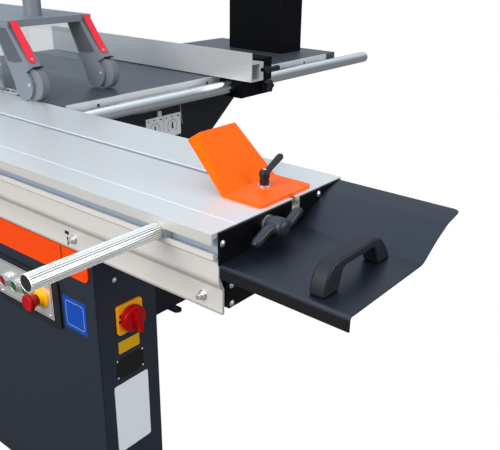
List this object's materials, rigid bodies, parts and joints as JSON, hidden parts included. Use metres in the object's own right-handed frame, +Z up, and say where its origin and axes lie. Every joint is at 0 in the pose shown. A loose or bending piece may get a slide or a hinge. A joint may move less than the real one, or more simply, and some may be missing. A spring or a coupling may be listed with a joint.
{
  "type": "sliding table saw",
  "caption": "Floor standing sliding table saw: long slotted carriage on a rail, tilting and rising blade under a guard hood, rip fence on a round bar, sheet steel base with switches.",
  "frame": {"origin": "middle of the footprint's bounding box, on the floor", "axes": "+Z up, +Y along the cut, away from the operator's end with the tray, +X from the carriage towards the extension table"},
  "size_m": [2.046, 2.8464, 1.36],
  "materials": {
    "aluminium_profile": "satin anodised, brushed along its length",
    "bright_aluminium": "satin",
    "zinc_steel": "zinc plated",
    "track_steel": "ground",
    "bar_steel": "polished",
    "blade_steel": "ground",
    "body_paint": "fine textured, dark blue grey",
    "black_paint": "semi gloss black",
    "tray_paint": "semi gloss dark slate",
    "orange_paint": "gloss orange",
    "table_iron": "ground",
    "black_plastic": "moulded",
    "yellow_plastic": "moulded",
    "red_plastic": "moulded",
    "red_lens": "moulded",
    "green_lens": "moulded",
    "guard_grey": "satin",
    "roller_grey": "ribbed",
    "clear_panel": "clear",
    "motor_paint": "satin",
    "belt_rubber": "moulded"
  },
  "bodies": {
    "base": {"slide_rail": "bright_aluminium", "rail_tracks": "track_steel", "rail_caps": "black_paint", "side_panel": "body_paint", "pillar_panels": "body_paint", "cabinet_panels": "body_paint", "trim_strip": "orange_paint", "floor_lugs": "body_paint", "dust_port": "zinc_steel", "panel_frame": "black_plastic", "panel_plate": "bright_aluminium", "button_bezels": "zinc_steel", "machine_screws": "zinc_steel", "estop_collar": "yellow_plastic", "switch_plate": "yellow_plastic", "main_table": "table_iron", "table_insert": "bright_aluminium", "extension_table": "table_iron", "scale_strip": "aluminium_profile", "fence_bar": "bar_steel", "guard_boom": "black_paint", "trunnions": "track_steel"},
    "carriage": {"carriage": "aluminium_profile", "carriage_tracks": "track_steel", "end_plates": "black_paint", "end_plate_hardware": "zinc_steel", "skirt_bolts": "zinc_steel", "tray": "tray_paint", "tray_handle": "black_plastic"},
    "roller_cage": {"roller_cage": "track_steel"},
    "lock_handle": {"lock_handle": "black_plastic"},
    "clamp_shoe": {"shoe_plate": "orange_paint", "shoe_stud": "zinc_steel"},
    "clamp_lever": {"clamp_lever": "black_plastic"},
    "push_handle": {"handle_stud": "zinc_steel"},
    "handle_grip": {"handle_grip": "bright_aluminium", "handle_cap": "black_plastic"},
    "estop_button": {"estop_button": "red_plastic"},
    "start_button_front": {"start_button_front": "green_lens"},
    "start_button_rear": {"start_button_rear": "green_lens"},
    "stop_button": {"stop_button": "red_lens"},
    "switch_knob": {"switch_knob": "red_plastic"},
    "fence_carrier": {"fence_carrier": "black_paint"},
    "fence_profile": {"fence_profile": "aluminium_profile"},
    "fence_lever": {"fence_lever": "black_plastic"},
    "fence_knob": {"fence_knob": "black_plastic"},
    "guard_hood": {"hood_frame": "guard_grey", "hood_windows": "clear_panel"},
    "hood_roller_left": {"hood_roller_left": "roller_grey"},
    "hood_roller_right": {"hood_roller_right": "roller_grey"},
    "tilt_unit": {"tilt_frame": "track_steel"},
    "lift_unit": {"lift_slide": "track_steel", "riving_knife": "blade_steel", "motor": "motor_paint", "belt": "belt_rubber"},
    "blade_arbor": {"arbor": "track_steel", "saw_blade": "blade_steel"},
    "motor_pulley": {"motor_pulley": "track_steel"},
    "tilt_wheel": {"tilt_wheel": "black_plastic"},
    "rise_wheel": {"rise_wheel": "black_plastic"}
  },
  "joints": [
    {"name": "carriage_slide", "type": "slide", "parent": "base", "child": "carriage", "axis": [0, 1, 0], "range_m": [-1.2, 1.2]},
    {"name": "roller_cage_slide", "type": "slide", "parent": "base", "child": "roller_cage", "axis": [0, 1, 0], "range_m": [-0.6, 0.6]},
    {"name": "lock_handle_turn", "type": "hinge", "parent": "carriage", "child": "lock_handle", "pos_m": [-0.648, -1.20925, 0.829], "axis": [0, 1, 0], "range_deg": [-16, 30]},
    {"name": "shoe_slide", "type": "slide", "parent": "carriage", "child": "clamp_shoe", "axis": [0, 1, 0], "range_m": [0, 2.2]},
    {"name": "clamp_lever_turn", "type": "hinge", "parent": "clamp_shoe", "child": "clamp_lever", "pos_m": [-0.565, -1.11525, 0.88], "axis": [0, 0, 1], "range_deg": [-120, 35]},
    {"name": "push_handle_slide", "type": "slide", "parent": "carriage", "child": "push_handle", "axis": [0, 1, 0], "range_m": [-0.08, 2.4]},
    {"name": "handle_twist", "type": "hinge", "parent": "push_handle", "child": "handle_grip", "pos_m": [-0.879, -1.06625, 0.825], "axis": [1, 0, 0], "range_deg": [-180, 180]},
    {"name": "estop_press", "type": "slide", "parent": "base", "child": "estop_button", "axis": [1, 0, 0], "range_m": [0, 0.004], "stiffness_N_per_m": 600},
    {"name": "start_front_press", "type": "slide", "parent": "base", "child": "start_button_front", "axis": [1, 0, 0], "range_m": [0, 0.003], "stiffness_N_per_m": 300},
    {"name": "start_rear_press", "type": "slide", "parent": "base", "child": "start_button_rear", "axis": [1, 0, 0], "range_m": [0, 0.003], "stiffness_N_per_m": 300},
    {"name": "stop_press", "type": "slide", "parent": "base", "child": "stop_button", "axis": [1, 0, 0], "range_m": [0, 0.003], "stiffness_N_per_m": 300},
    {"name": "switch_turn", "type": "hinge", "parent": "base", "child": "switch_knob", "pos_m": [-0.672, -0.86325, 0.538], "axis": [0, 1, 0], "range_deg": [-90, 0]},
    {"name": "fence_slide", "type": "slide", "parent": "base", "child": "fence_carrier", "axis": [1, 0, 0], "range_m": [-0.28, 0.4]},
    {"name": "fence_profile_slide", "type": "slide", "parent": "fence_carrier", "child": "fence_profile", "axis": [0, 1, 0], "range_m": [-0.2, 0.1]},
    {"name": "fence_lever_turn", "type": "hinge", "parent": "fence_carrier", "child": "fence_lever", "pos_m": [0.235, -0.49025, 0.883], "axis": [0, 1, 0], "range_deg": [-80, 0]},
    {"name": "fence_knob_turn", "type": "hinge", "parent": "fence_carrier", "child": "fence_knob", "pos_m": [0.31, -0.44325, 0.816], "axis": [0, 1, 0], "range_deg": [-180, 180]},
    {"name": "hood_lift", "type": "slide", "parent": "base", "child": "guard_hood", "axis": [0, 0, 1], "range_m": [0, 0.1]},
    {"name": "hood_roller_left_spin", "type": "hinge", "parent": "guard_hood", "child": "hood_roller_left", "pos_m": [-0.417, -0.22525, 0.895], "axis": [1, 0, 0], "continuous": true},
    {"name": "hood_roller_right_spin", "type": "hinge", "parent": "guard_hood", "child": "hood_roller_right", "pos_m": [-0.179, -0.22525, 0.895], "axis": [1, 0, 0], "continuous": true},
    {"name": "saw_tilt", "type": "hinge", "parent": "base", "child": "tilt_unit", "pos_m": [-0.389, 0.11675, 0.85], "axis": [0, 1, 0], "range_deg": [0, 45]},
    {"name": "saw_rise", "type": "slide", "parent": "tilt_unit", "child": "lift_unit", "axis": [0, 0, 1], "range_m": [-0.1, 0]},
    {"name": "blade_spin", "type": "hinge", "parent": "lift_unit", "child": "blade_arbor", "pos_m": [-0.389, 0.11675, 0.745], "axis": [1, 0, 0], "continuous": true},
    {"name": "motor_spin", "type": "hinge", "parent": "lift_unit", "child": "motor_pulley", "pos_m": [-0.23, 0.11675, 0.54], "axis": [1, 0, 0], "continuous": true},
    {"name": "tilt_wheel_turn", "type": "hinge", "parent": "base", "child": "tilt_wheel", "pos_m": [-0.139, -0.24325, 0.47], "axis": [0, 1, 0], "range_deg": [0, 1800]},
    {"name": "rise_wheel_turn", "type": "hinge", "parent": "base", "child": "rise_wheel", "pos_m": [0.031, -0.24325, 0.47], "axis": [0, 1, 0], "range_deg": [-1440, 0]}
  ],
  "couplings": [
    {"joint": "roller_cage_slide", "follows": "carriage_slide", "ratio": 0.5},
    {"joint": "motor_spin", "follows": "blade_spin", "ratio": 0.72727},
    {"joint": "tilt_wheel_turn", "follows": "saw_tilt", "ratio": 40},
    {"joint": "rise_wheel_turn", "follows": "saw_rise", "rad_per_m": 250}
  ]
}
